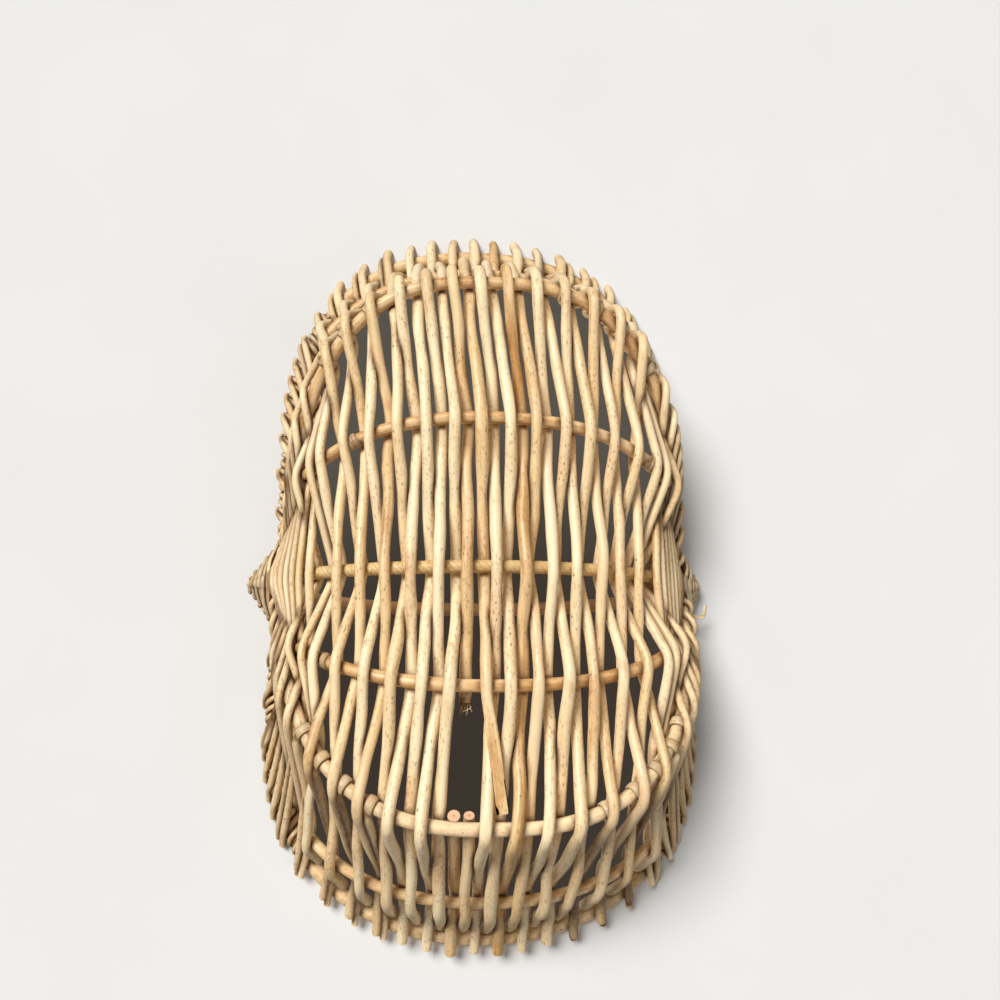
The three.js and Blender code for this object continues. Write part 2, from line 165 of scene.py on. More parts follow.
def crossings(row, crossed, sides, radiusAt, arcs=None):  # side 1 is outside the bowl and -1 inside
    arcs = arcs or [arcOn(ribs[name], row) for name in crossed]
    spots = [pointOn(ribs[name], arc) for name, arc in zip(crossed, arcs)]
    knots = []
    for i, name in enumerate(crossed):
        rib, arc = ribs[name], arcs[i]
        along = unit(spots[min(i + 1, len(spots) - 1)] - spots[max(i - 1, 0)])
        normal = unit(np.cross(acrossOn(rib, arc), along))
        if normal @ (spots[i] - bowlMiddle) < 0:
            normal = -normal
        thick = ribThick(rib, arc)
        place = i / (len(spots) - 1)
        reach = thick + radiusAt(place) + basket["gap"]
        knots.append({"rib": rib, "arc": arc, "centre": spots[i] + normal * sides[i] * reach, "along": along,
                      "normal": normal, "side": sides[i], "thick": thick, "place": place})
    return knots


def stepsOver(knot):
    step = knot["along"] * knot["thick"]
    return [knot["centre"] - step, knot["centre"] + step]


def pastEnd(knot, way, length):
    return knot["centre"] + knot["along"] * way * (knot["thick"] + length)


def evenSteps(points, spacing):
    lengths = runLengths(points)
    count = max(int(round(lengths[-1] / spacing)), 2)
    places = np.linspace(0, lengths[-1], count + 1)
    return np.stack([np.interp(places, lengths, points[:, k]) for k in range(3)], 1)


def springy(points, soft, spacing, fine=1.2):  # a bent rod rounds off the corners of its path
    path = evenSteps(np.asarray(points, float), fine)
    reach = min(int(math.ceil(3 * soft / fine)), len(path) - 1)
    before = 2 * path[0] - path[reach:0:-1]
    after = 2 * path[-1] - path[-2:-reach - 2:-1]
    padded = np.concatenate([before, path, after])
    weights = np.exp(-0.5 * (np.arange(-reach, reach + 1) * fine / soft) ** 2)
    weights /= weights.sum()
    eased = np.stack([np.convolve(padded[:, k], weights, "valid") for k in range(3)], 1)
    return evenSteps(eased, spacing)


def softNoise(count, step, grip):  # slow random drift along a rod
    knots = dice.normal(0, 1, int(count * step / grip) + 4)
    places = np.arange(count) * step / grip + 1
    low = np.floor(places).astype(int)
    share = smoothRise(places - low, 0, 1)
    return knots[low] * (1 - share) + knots[low + 1] * share


def knobs(settings, count, step):  # uneven thickness along a rod
    return 1 + settings["knobbly"] * softNoise(count, step, settings["knobGrip"])


def spokesAt(first, second, angle):
    return first * np.cos(angle)[:, None] + second * np.sin(angle)[:, None]


# Node helpers

def fillSockets(tree, sockets, values):  # an output of another node is linked, a plain value is set
    for key, value in values.items():
        if isinstance(value, bpy.types.NodeSocket):
            tree.links.new(value, sockets[key])
        else:
            sockets[key].default_value = value


def addNode(tree, kind, values=None, **settings):
    node = tree.nodes.new(kind)
    for name, value in settings.items():
        setattr(node, name, value)
    fillSockets(tree, node.inputs, values or {})
    return node


def outOf(tree, kind, values=None, pick=0, **settings):
    return addNode(tree, kind, values, **settings).outputs[pick]


def mathNode(tree, operation, *values, clamp=False):
    return outOf(tree, "ShaderNodeMath", dict(enumerate(values)), operation=operation, use_clamp=clamp)


def rampNode(tree, value, ends):
    values = {"Value": value, "From Min": ends[0], "From Max": ends[1]}
    return outOf(tree, "ShaderNodeMapRange", values, interpolation_type="SMOOTHSTEP")


def mixNode(tree, share, first, second):
    return outOf(tree, "ShaderNodeMix", {0: share, 6: first, 7: second}, 2, data_type="RGBA")


def newGroup(name, kind, inputs, outputs):
    group = bpy.data.node_groups.new(name, kind)
    for way, sockets in (("INPUT", inputs), ("OUTPUT", outputs)):
        for label, holds in sockets.items():
            group.interface.new_socket(label, in_out=way, socket_type="NodeSocket" + holds)
    return group, addNode(group, "NodeGroupInput").outputs


# A path with a thickness at each point becomes a rod, or a flat strip, with its own lengthwise coordinates
growthSet = {"seedJump": 1.7, "lumpScale": 160.0, "lumpDetail": 2.0, "sideCorners": 4}


def makeRodTree():
    inputs = {"Geometry": "Geometry", "Sides": "Int", "Flatness": "Float", "Unevenness": "Float",
              "Face Out": "Bool", "Finish": "Material"}
    tree, start = newGroup("bentWillow", "GeometryNodeTree", inputs, {"Geometry": "Geometry"})
    make, calc = partial(outOf, tree), partial(mathNode, tree)

    def named(name, kind="FLOAT"):
        return make("GeometryNodeInputNamedAttribute", {"Name": name}, "Attribute", data_type=kind)

    def store(geometry, name, value, kind="FLOAT", domain="POINT"):
        values = {"Geometry": geometry, "Name": name, "Value": value}
        return make("GeometryNodeStoreNamedAttribute", values, data_type=kind, domain=domain)

    path = make("GeometryNodeMeshToCurve", {"Mesh": start["Geometry"]})
    facing = {"Curve": path, "Selection": start["Face Out"], "Normal": named("faceOut", "FLOAT_VECTOR")}
    path = make("GeometryNodeSetCurveNormal", facing, mode="FREE")
    path = store(path, "alongRod", make("GeometryNodeSplineParameter", pick="Length"))

    flat = make("ShaderNodeCombineXYZ", {0: start["Flatness"], 1: 1.0, 2: 1.0})
    ring = make("GeometryNodeCurvePrimitiveCircle", {"Radius": 1.0, "Resolution": start["Sides"]})
    ring = make("GeometryNodeTransform", {"Geometry": ring, "Scale": flat})
    ring = store(ring, "roundRod", make("GeometryNodeInputPosition"), "FLOAT_VECTOR")
    swept = {"Curve": path, "Profile Curve": ring, "Scale": named("thick"), "Fill Caps": True}
    rod = make("GeometryNodeCurveToMesh", swept)

    corners = make("GeometryNodeInputMeshFaceNeighbors", pick="Vertex Count")
    isCap = make("FunctionNodeCompare", {2: corners, 3: growthSet["sideCorners"]}, data_type="INT",
                 operation="GREATER_THAN")
    rod = store(rod, "cutEnd", isCap, "FLOAT", "FACE")

    across = addNode(tree, "ShaderNodeSeparateXYZ", {0: named("roundRod", "FLOAT_VECTOR")}).outputs
    thick = named("thick")
    along = calc("MULTIPLY_ADD", named("rodSeed"), growthSet["seedJump"], named("alongRod"))
    space = {0: calc("MULTIPLY", across[0], thick), 1: calc("MULTIPLY", across[1], thick), 2: along}
    rod = store(rod, "rodSpace", make("ShaderNodeCombineXYZ", space), "FLOAT_VECTOR")

    lumpy = {"Vector": named("rodSpace", "FLOAT_VECTOR"), "Scale": growthSet["lumpScale"],
             "Detail": growthSet["lumpDetail"]}
    lumps = calc("SUBTRACT", make("ShaderNodeTexNoise", lumpy), 0.5)
    push = {0: make("GeometryNodeInputNormal"), "Scale": calc("MULTIPLY", lumps, start["Unevenness"])}
    offset = make("ShaderNodeVectorMath", push, operation="SCALE")
    rod = make("GeometryNodeSetPosition", {"Geometry": rod, "Offset": offset})
    isSide = make("FunctionNodeBooleanMath", {0: isCap}, operation="NOT")
    rod = make("GeometryNodeSetShadeSmooth", {"Geometry": rod, "Shade Smooth": isSide})
    rod = make("GeometryNodeRealizeInstances", {"Geometry": rod})
    rod = make("GeometryNodeSetMaterial", {"Geometry": rod, "Material": start["Finish"]})
    addNode(tree, "NodeGroupOutput", {"Geometry": rod})
    return tree


rodTree = makeRodTree()
treeSockets = {item.name: item.identifier for item in rodTree.interface.items_tree if item.in_out == "INPUT"}


def strand(points, radii, tone=0.5, faceOut=None):
    points = np.asarray(points, float)
    radii = np.broadcast_to(np.asarray(radii, float), len(points))
    return {"points": points, "radii": radii, "tone": tone, "seed": dice.uniform(0, 1), "faceOut": faceOut}


laidStrands = []


def layStrands(name, strands, finish, sides=12, flatness=1.0, uneven=0.12, floor=False):
    points = np.concatenate([one["points"] for one in strands])
    mesh = bpy.data.meshes.new(name)
    edges = []
    first = 0
    for one in strands:
        count = len(one["points"])
        edges += [(first + k, first + k + 1) for k in range(count - 1)]
        first += count
    mesh.from_pydata(((points + planShift) / 1000).tolist(), edges, [])

    def store(label, values):
        values = np.ascontiguousarray(values, np.float32)
        mesh.attributes.new(label, "FLOAT", "POINT").data.foreach_set("value", values)

    store("thick", np.concatenate([one["radii"] for one in strands]) / 1000)
    store("tone", np.concatenate([np.full(len(one["points"]), one["tone"]) for one in strands]))
    store("rodSeed", np.concatenate([np.full(len(one["points"]), one["seed"]) for one in strands]))
    faceOut = strands[0]["faceOut"] is not None
    if faceOut:
        normals = np.concatenate([one["faceOut"] for one in strands]).astype(np.float32)
        mesh.attributes.new("faceOut", "FLOAT_VECTOR", "POINT").data.foreach_set("vector", normals.ravel())
    piece = bpy.data.objects.new(name, mesh)
    scene.collection.objects.link(piece)
    growth = piece.modifiers.new("bentWillow", "NODES")
    growth.node_group = rodTree
    for label, value in (("Sides", sides), ("Flatness", float(flatness)), ("Unevenness", uneven / 1000),
                         ("Face Out", faceOut), ("Finish", finish)):
        growth[treeSockets[label]] = value
    bpy.context.view_layer.update()
    grown = bpy.data.meshes.new_from_object(piece.evaluated_get(bpy.context.evaluated_depsgraph_get()))
    piece.modifiers.clear()
    piece.data = grown
    bpy.data.meshes.remove(mesh)
    grown.name = name
    if floor:  # worn flat where the basket has stood
        places = np.zeros(len(grown.vertices) * 3, np.float32)
        grown.vertices.foreach_get("co", places)
        places[2::3] = np.maximum(places[2::3], 0.0)
        grown.vertices.foreach_set("co", places)
        grown.update()
    grown.calc_loop_triangles()
    laidStrands.append((grown, strands, flatness))
    print(name, len(strands), "strands", len(grown.loop_triangles), "triangles")
    return piece


# Peeled willow
willowLook = {
    "cream": (0.85, 0.69, 0.435, 1),
    "honey": (0.61, 0.35, 0.11, 1),
    "brown": (0.29, 0.125, 0.035, 1),
    "rust": (0.43, 0.16, 0.04, 1),
    "cut": (0.72, 0.45, 0.28, 1),
    "speck": (0.06, 0.028, 0.012, 1),
    "blush": (0.82, 0.53, 0.35, 1),
    # crease: the colour of the painted contact shade where rods touch
    "crease": (0.125, 0.052, 0.013, 1),
    "specular": 0.28,
    "coat": 0.05,
    "coatRough": 0.28,
    "bumpDeep": 0.0003,
}
# scale, stretch along the rod, detail, roughness, shift
willowNoise = {
    "streaks": (900.0, 0.03, 4.0, 0.6, 0.0),  # fine lengthwise grain
    "bands": (230.0, 0.06, 2.0, 0.5, 3.1),  # broader stripes of colour
    "patches": (22.0, 1.0, 3.0, 0.6, 7.7),  # slow change along a rod
    "stains": (34.0, 0.5, 4.0, 0.65, 11.3),
    "mottle": (420.0, 0.5, 3.0, 0.6, 5.2),
    "blush": (13.0, 0.7, 2.0, 0.5, 17.9),  # some stretches are faintly pink
    "freckles": (850.0, 0.4, 4.0, 0.7, 23.1),  # fine brown mottling, thicker in some stretches
}
# from nothing to full
willowRamp = {
    "blush": (0.5, 0.68), "deep": (0.76, 1.28), "rust": (0.60, 0.74), "freckle": (0.51, 0.68),
    "freckled": (0.72, 1.12), "speck": (0.10, 0.23), "specked": (0.36, 0.56), "bud": (0.05, 0.13),
    "pith": (0.0004, 0.0010),
}
# how strongly each effect shows
willowShare = {
    "paler": -0.57, "patches": 0.8, "bands": 0.95, "streaks": 0.75, "blush": 0.24, "mottle": 0.35,
    "deep": 0.62, "rust": 0.55, "freckles": 0.72, "specks": 0.85, "speckWaver": 0.3, "buds": 0.7,
    "pith": 0.6, "rings": 0.12, "mottleRough": 0.22, "cutRough": 0.25, "streaksHigh": 0.7,
    "mottleHigh": 0.3, "specksHigh": -0.5, "budsHigh": 0.9,
}
# slope and start
willowLine = {"speckSize": (1.3, 0.3), "faint": (0.8, 0.2), "contactShade": (0.8, 0.6), "rough": (0.14, 0.22)}
# scale and stretch of the cells, the chance that a cell stays empty, and how close the rings of a cut end are
willowCells = {"specks": (500.0, 0.6), "buds": (72.0, 0.7), "speckFrom": 0.56, "budFrom": 0.72, "rings": 5200.0}


def makeWillowGroup():
    inputs = {"Vector": "Vector", "Tone": "Float", "Cut End": "Float", "Crease": "Float", "Cream": "Color",
              "Honey": "Color", "Specks": "Float", "Rust": "Float"}
    outputs = {"Colour": "Color", "Roughness": "Float", "Height": "Float"}
    group, start = newGroup("willowGrain", "ShaderNodeTree", inputs, outputs)
    make, calc, mix = partial(outOf, group), partial(mathNode, group), partial(mixNode, group)

    def stretched(lengthwise, shift=0.0):
        values = {"Vector": start["Vector"], "Scale": (1.0, 1.0, lengthwise), "Location": (shift, shift, shift)}
        return make("ShaderNodeMapping", values)

    def noise(name):
        scale, lengthwise, detail, rough, shift = willowNoise[name]
        values = {"Vector": stretched(lengthwise, shift), "Scale": scale, "Detail": detail, "Roughness": rough}
        return make("ShaderNodeTexNoise", values)

    def cells(name):
        scale, lengthwise = willowCells[name]
        node = addNode(group, "ShaderNodeTexVoronoi", {"Vector": stretched(lengthwise), "Scale": scale})
        chance = addNode(group, "ShaderNodeSeparateColor", {0: node.outputs["Color"]}).outputs
        return node.outputs["Distance"], chance

    def ramp(name, value):
        return rampNode(group, value, willowRamp[name])

    def line(name, value):
        return calc("MULTIPLY_ADD", value, *willowLine[name])

    def part(name, value):
        return calc("MULTIPLY", value, willowShare[name])

    def more(name, value, base, clamp=False):
        return calc("MULTIPLY_ADD", value, willowShare[name], base, clamp=clamp)

    def around(name, value, base, clamp=False):  # adds a noise, swinging about its middle
        return more(name, calc("SUBTRACT", value, 0.5), base, clamp)

    streaks, bands, patches = noise("streaks"), noise("bands"), noise("patches")
    mottle = noise("mottle")

    depth = calc("MULTIPLY_ADD", start["Tone"], 1.0, willowShare["paler"])
    depth = more("patches", patches, depth)
    depth = around("bands", bands, depth)
    depth = around("streaks", streaks, depth, clamp=True)
    colour = mix(depth, start["Cream"], start["Honey"])
    colour = mix(part("blush", ramp("blush", noise("blush"))), colour, willowLook["blush"])
    deep = ramp("deep", calc("ADD", depth, part("mottle", mottle)))
    colour = mix(part("deep", deep), colour, willowLook["brown"])
    rusty = calc("MULTIPLY", ramp("rust", noise("stains")), part("rust", start["Rust"]))
    colour = mix(rusty, colour, willowLook["rust"])
    freckled = ramp("freckled", calc("ADD", patches, bands))
    freckled = calc("MULTIPLY", ramp("freckle", noise("freckles")), freckled)
    colour = mix(part("freckles", freckled), colour, willowLook["brown"])

    apart, chance = cells("specks")
    sized = calc("DIVIDE", around("speckWaver", mottle, apart), line("speckSize", chance[2]))
    dot = calc("SUBTRACT", 1.0, ramp("speck", sized))
    chosen = calc("GREATER_THAN", chance[0], willowCells["speckFrom"])
    chosen = calc("MULTIPLY", chosen, ramp("specked", patches))
    specks = calc("MULTIPLY", calc("MULTIPLY", dot, chosen), line("faint", chance[1]))
    specks = calc("MULTIPLY", specks, part("specks", start["Specks"]))
    colour = mix(specks, colour, willowLook["speck"])

    apart, chance = cells("buds")  # small dark buds and scars
    bud = calc("MULTIPLY", calc("SUBTRACT", 1.0, ramp("bud", apart)),
               calc("GREATER_THAN", chance[1], willowCells["budFrom"]))
    colour = mix(part("buds", bud), colour, willowLook["brown"])

    contactShade = calc("MULTIPLY", start["Crease"], line("contactShade", mottle), clamp=True)
    colour = mix(contactShade, colour, willowLook["crease"])  # painted contact shade: the colour darkens to brown where rods touch other rods

    # Cut faces: pale pink wood with a darker pith
    across = addNode(group, "ShaderNodeSeparateXYZ", {0: start["Vector"]}).outputs
    radius = calc("SQRT", calc("ADD", calc("POWER", across[0], 2.0), calc("POWER", across[1], 2.0)))
    pith = calc("SUBTRACT", 1.0, ramp("pith", radius))
    rings = calc("SINE", calc("MULTIPLY", radius, willowCells["rings"]))
    rings = more("rings", rings, willowShare["rings"])
    cutColour = mix(rings, willowLook["cut"], willowLook["brown"])
    cutColour = mix(part("pith", pith), cutColour, willowLook["brown"])
    colour = mix(start["Cut End"], colour, cutColour)

    rough = more("mottleRough", mottle, line("rough", streaks))
    rough = more("cutRough", start["Cut End"], rough, clamp=True)
    height = more("streaksHigh", streaks, part("mottleHigh", mottle))
    height = more("specksHigh", specks, more("budsHigh", bud, height))
    addNode(group, "NodeGroupOutput", {"Colour": colour, "Roughness": rough, "Height": height})
    return group


willowGroup = makeWillowGroup()


def willowFinish(name, tone=0.0, cream=willowLook["cream"], honey=willowLook["honey"], specks=1.0, rust=1.0,
                 bump=0.4, creaseShade=1.0):
    material = bpy.data.materials.new(name)
    material.use_nodes = True
    tree = material.node_tree

    def attribute(label, pick="Fac"):
        return outOf(tree, "ShaderNodeAttribute", None, pick, attribute_name=label)

    values = {
        "Vector": attribute("rodSpace", "Vector"),
        "Tone": mathNode(tree, "ADD", attribute("tone"), tone),
        "Cut End": attribute("cutEnd"),
        # painted contact shade from the crease attribute, scaled per finish
        "Crease": mathNode(tree, "MULTIPLY", attribute("crease"), creaseShade),
        "Cream": cream,
        "Honey": honey,
        "Specks": specks,
        "Rust": rust,
    }
    grain = addNode(tree, "ShaderNodeGroup", values, node_tree=willowGroup).outputs
    relief = {"Strength": bump, "Distance": willowLook["bumpDeep"], "Height": grain["Height"]}
    fillSockets(tree, tree.nodes["Principled BSDF"].inputs, {
        "Base Color": grain["Colour"],
        "Roughness": grain["Roughness"],
        "Normal": outOf(tree, "ShaderNodeBump", relief),
        "Coat Weight": willowLook["coat"],
        "Coat Roughness": willowLook["coatRough"],
        "Specular IOR Level": willowLook["specular"],
    })
    return material


rodFinish = willowFinish("peeledWillowRod")
weaverFinish = willowFinish("thinWeaver", tone=0.06, bump=0.3)
ribFinish = willowFinish("goldenRib", tone=0.22, honey=(0.60, 0.32, 0.095, 1), rust=0.7)
hoopFinish = willowFinish("hoopWillow", tone=0.2, rust=0.8)
# The handle is brown willow, painted darker still: painted shade for where it lies under the upturned basket
handleFinish = willowFinish("handleWillow", cream=(0.42, 0.25, 0.11, 1), honey=(0.24, 0.115, 0.04, 1), rust=0.5)
stripFinish = willowFinish("splitStrip", specks=0.6, rust=0.5, bump=0.5, creaseShade=0.6)
skeinFinish = willowFinish("goldenSkein", cream=(0.86, 0.66, 0.34, 1), honey=(0.68, 0.41, 0.12, 1), specks=0.4,
                           rust=0.4, creaseShade=0.3)
print("willow finishes ready")


# Weaving rods, rim to rim
rodSet = {
    "count": 27, "pitch": 7.7, "radius": 3.45, "thinning": 0.6, "taper": 0.07, "farTip": 11.0,
    "nearTip": -0.5, "innerTip": 4.0, "tuckedShort": 7.0, "tuckedUnder": 0.4, "farScatter": 1.3,
    "nearScatter": 1.0, "tuckedScatter": 0.8, "toneSpread": 0.2, "soft": 3.3, "spacing": 2.6,
    "drift": 0.6, "driftGrip": 30, "driftEase": 8, "driftLeast": 0.2, "knobbly": 0.05, "knobGrip": 18,
    "endThin": 0.93, "bluntThin": (0.92, 0.62), "broken": 11, "brokenPast": 5.5, "short": 12,
    "shortBefore": 14.0, "shortLean": 3.0, "shortAside": 2, "stubReach": 1.0, "rimTilt": 1.1,
}
rodSides = [1, -1, 1, -1, 1, -1, 1, -1, 1]
stubSides = [1, -1, 1, -1, 1, -1, -1, -1, 1]
snapAt = ribOrder.index("endNear")  # the broken and the short rod stop before this rib
middleRod = (rodSet["count"] - 1) / 2


def rodSize(index):
    mean = rodSet["radius"] - rodSet["thinning"] * (abs(index - middleRod) / middleRod) ** 2
    butt = 1 if index % 4 < 2 else -1
    return lambda place: mean * (1 + rodSet["taper"] * butt * (1 - 2 * place))


def rodStrand(knots, ends, radiusAt, tone, blunt=False):
    points = [ends[0]]
    places = [knots[0]["place"]]
    for knot in knots:
        points += stepsOver(knot)
        places += [knot["place"]] * 2
    points.append(ends[1])
    places.append(knots[-1]["place"])
    spacing = rodSet["spacing"]
    path = springy(points, rodSet["soft"], spacing)
    lengths = runLengths(np.asarray(points))
    share = np.interp(np.linspace(0, lengths[-1], len(path)), lengths, places)
    radii = radiusAt(share) * knobs(rodSet, len(path), spacing)
    edge = np.minimum(np.arange(len(path)), np.arange(len(path))[::-1])
    radii = radii * np.where(edge == 0, rodSet["endThin"], 1.0)
    if blunt:
        radii[-2:] *= rodSet["bluntThin"]
    drift = np.stack([softNoise(len(path), spacing, rodSet["driftGrip"]) for k in range(3)], 1)
    held = np.clip(edge / rodSet["driftEase"], rodSet["driftLeast"], 1)[:, None]
    return strand(path + drift * rodSet["drift"] * held, radii, tone)


def outerEnds(knots):
    farTip = rodSet["farTip"] if knots[0]["side"] > 0 else rodSet["innerTip"]
    farEnd = pastEnd(knots[0], -1, farTip + dice.normal(0, rodSet["farScatter"]))
    last = knots[-1]
    if last["side"] < 0:  # a rod tucked behind the near rim stops just short of it
        spot = pointOn(last["rib"], last["arc"])
        short = rodSet["tuckedShort"] + dice.normal(0, rodSet["tuckedScatter"])
        return farEnd, spot + (last["centre"] - spot) * rodSet["tuckedUnder"] - last["along"] * short
    flareOut(last)
    return farEnd, pastEnd(last, 1, rodSet["nearTip"] + dice.normal(0, rodSet["nearScatter"]))


def flareOut(knot):  # at the near rim a rod lies under the hoop and flares outward
    spot = pointOn(knot["rib"], knot["arc"])
    reach = np.linalg.norm(knot["centre"] - spot)
    knot["normal"] = unit(knot["normal"] - up * rodSet["rimTilt"])
    knot["centre"] = spot + knot["normal"] * reach
    knot["along"] = unit(knot["along"] - knot["normal"] * (knot["along"] @ knot["normal"]))


def stubStart(stub):
    steep = unit(stub[1]["centre"] - stub[0]["centre"])
    return stub[0]["centre"] - steep * (stub[0]["thick"] + rodSet["stubReach"])


rodTone = dice.normal(0.5, rodSet["toneSpread"], rodSet["count"])
rodStrands = []
for index in range(rodSet["count"]):
    row = (index - middleRod) * rodSet["pitch"]
    radiusAt = rodSize(index)
    tone = rodTone[index]
    tucked = index % 2 == 0
    sides = [-side if tucked else side for side in rodSides]
    knots = crossings(row, ribOrder, sides, radiusAt)
    farEnd, nearEnd = outerEnds(knots)
    last = len(ribOrder) - tucked
    if index == rodSet["broken"]:
        snapped = pastEnd(knots[snapAt - 1], 1, rodSet["brokenPast"])
        rodStrands.append(rodStrand(knots[:snapAt], [farEnd, snapped], radiusAt, tone))
        brokenEnd = rodStrands[-1]["points"][-2:]
        stub = crossings(row, ribOrder, stubSides, radiusAt)[snapAt:]
        flareOut(stub[-1])
        rodStrands.append(rodStrand(stub, [stubStart(stub), nearEnd], radiusAt, tone))
    elif index == rodSet["short"]:
        leaning = crossings(row + rodSet["shortLean"], ribOrder, sides, radiusAt)[snapAt - 1]
        asideRow = row + rodSet["shortAside"] * rodSet["pitch"]
        lying = crossings(asideRow, ribOrder, rodSides, radiusAt)[snapAt]
        cutEnd = lying["centre"] - lying["along"] * rodSet["shortBefore"]
        rodStrands.append(rodStrand(knots[:snapAt - 1] + [leaning], [farEnd, cutEnd], radiusAt, tone))
        stub = knots[snapAt:last]
        rodStrands.append(rodStrand(stub, [stubStart(stub), nearEnd], radiusAt, tone, tucked))
    else:
        rodStrands.append(rodStrand(knots[:last], [farEnd, nearEnd], radiusAt, tone, tucked))

# Extra rods start with a flat turn round an end rib and fill out the wall up to the rim
stakeSet = {
    "near": (-128, -108, -89, -70, 62, 82, 100, 117, 133), "far": (43, 66, 86, 115, -78, -98, -118),
    "tips": {"near": 3.0, "far": 6.0}, "radius": 2.55, "slimmer": 0.12, "taper": 0.14,
    "startThin": (0.3, 0.62, 0.88), "startDeep": 2.2, "startBack": 1.0, "restDeep": 1.6,
    "restPast": 1.2, "soft": 3.4, "knobbly": 0.03, "knobGrip": 18, "toneSpread": 0.1, "bandWide": 3.0,
    "bandFlat": 0.3, "bandTurns": 1.08, "bandPitch": 2.0, "bandLift": 0.75, "bandUneven": 0.105,
    "bandGrip": 6, "bandSteps": 14,
}


def rowAt(rib, arc):
    rows = np.linspace(-0.98, 0.98, 1200) * hoop["half"]
    return float(np.interp(arc, arcOn(rib, rows), rows))


bandStrands = []


def ribBand(rib, arc, turns, startAngle, wide, pitch, lift=0.25, tone=0.45):
    steps = int(abs(turns) * stakeSet["bandSteps"]) + 3
    share = np.linspace(0, 1, steps)
    arcs = arc + (share - 0.5) * pitch * abs(turns)
    centre = pointOn(rib, arcs)
    ahead = aheadOn(rib, arcs)
    outward = centre - bowlMiddle
    outward = unitRows(outward - ahead * (outward * ahead).sum(1)[:, None])
    third = np.cross(ahead, outward)
    angle = startAngle + turns * 2 * math.pi * share
    spoke = spokesAt(outward, third, angle)
    reach = ribThick(rib, arcs) + lift + stakeSet["bandUneven"] * softNoise(steps, 1.0, stakeSet["bandGrip"])
    bandStrands.append(strand(centre + spoke * np.asarray(reach)[:, None], wide, tone, spoke))


for end, crossed in (("near", ["endNear", "wallNear", "rimNear"]), ("far", ["endFar", "wallFar", "rimFar"])):
    for arc in stakeSet[end]:
        rib = ribs[crossed[0]]
        slim = lambda place: stakeSet["radius"] * (1 - stakeSet["slimmer"] * place)
        first, second, third = crossings(rowAt(rib, arc), crossed, [1, -1, 1], slim)
        tone = dice.normal(0.5, stakeSet["toneSpread"])
        if end == "near":
            flareOut(third)
        start = first["centre"] - first["normal"] * stakeSet["startDeep"]
        start = start - first["along"] * stakeSet["startBack"]
        rest = first["centre"] - first["normal"] * stakeSet["restDeep"]
        rest = rest + first["along"] * first["thick"] * stakeSet["restPast"]
        tip = pastEnd(third, 1, stakeSet["tips"][end])
        route = [start, rest] + stepsOver(second) + stepsOver(third) + [tip]
        path = springy(route, stakeSet["soft"], rodSet["spacing"])
        radii = stakeSet["radius"] * (1 - stakeSet["taper"] * np.linspace(0, 1, len(path)))
        radii = radii * knobs(stakeSet, len(path), rodSet["spacing"])
        radii[:3] *= stakeSet["startThin"]
        rodStrands.append(strand(path, radii, tone))
        ribBand(rib, arc, stakeSet["bandTurns"], -math.pi * stakeSet["bandTurns"], stakeSet["bandWide"],
                stakeSet["bandPitch"], stakeSet["bandLift"], tone)

# The broken end: splinters and one curled fibre
fraySet = {
    "splinters": 9, "points": 6, "length": 7.5, "lengths": (0.35, 1.0), "rooted": 2.5, "roots": (0.9, 2.2),
    "bends": (-0.4, 2.0), "lean": 0.8, "thick": (0.85, 0.12), "thicks": (0.7, 1.1), "tone": 0.62,
    "curl": 7.15, "curlPoints": 26, "curlWaves": (5.2, 6.0), "curlSide": 3.2, "curlOut": 2.2,
    "curlThick": (0.22, 0.09), "curlTone": 0.3,
}
frayAlong = unit(brokenEnd[1] - brokenEnd[0])
frayAcross = unit(np.cross(frayAlong, up))
frayOut = np.cross(frayAcross, frayAlong)
for k in range(fraySet["splinters"]):
    angle = 2 * math.pi * k / fraySet["splinters"]
    spoke = frayAcross * math.cos(angle) + frayOut * math.sin(angle)
    length = fraySet["length"] * dice.uniform(*fraySet["lengths"]) + fraySet["rooted"]
    share = np.linspace(0, 1, fraySet["points"])[:, None]
    root = brokenEnd[1] - frayAlong * fraySet["rooted"] + spoke * dice.uniform(*fraySet["roots"])
    bend = spoke * dice.uniform(*fraySet["bends"]) + frayAcross * dice.normal(0, fraySet["lean"])
    path = root + frayAlong * share * length + bend * share ** 2
    radii = np.linspace(*fraySet["thick"], fraySet["points"]) * dice.uniform(*fraySet["thicks"])
    rodStrands.append(strand(path, radii, fraySet["tone"]))
share = np.linspace(0, 1, fraySet["curlPoints"])
curl = brokenEnd[1] + np.outer(share * fraySet["curl"], frayAlong)
curl = curl + np.outer(np.sin(share * fraySet["curlWaves"][0]) * fraySet["curlSide"], frayAcross)
curl = curl + np.outer((np.cos(share * fraySet["curlWaves"][1]) - 1) * fraySet["curlOut"], frayOut)
radii = np.linspace(*fraySet["curlThick"], fraySet["curlPoints"])
rodStrands.append(strand(curl, radii, fraySet["curlTone"]))
weavingRods = layStrands("weavingRods", rodStrands, rodFinish, sides=12, uneven=0.25, floor=True)
rodNodes = ["rod_%02d" % (k + 1) for k in range(rodSet["count"])] + ["rod_stub_broken", "rod_stub_short"]
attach(weavingRods, "root")
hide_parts(*rodNodes)


# Ribs and hoops
ribSet = {
    "spacing": 3.0, "endStop": 17.0, "knobbly": 0.03, "knobGrip": 22, "tipThin": 0.9,
    "lastRow": {"wall": 100.1, "bottom": 116.8}, "past": {"wall": 4.5, "bottom": 1.6},
}
ribTone = {"wallFar": 0.55, "bottomFar": 0.62, "bottomNear": 0.7, "wallNear": 0.5, "endFar": 0.62,
           "endNear": 0.3}


def ribStrand(name, start, stop):
    rib = ribs[name]
    arcs = np.linspace(start, stop, int((stop - start) / ribSet["spacing"]) + 2)
    radii = ribThick(rib, arcs) * knobs(ribSet, len(arcs), ribSet["spacing"])
    radii[[0, -1]] = rib["tip"] * ribSet["tipThin"]
    return strand(pointOn(rib, arcs), radii, ribTone[name])


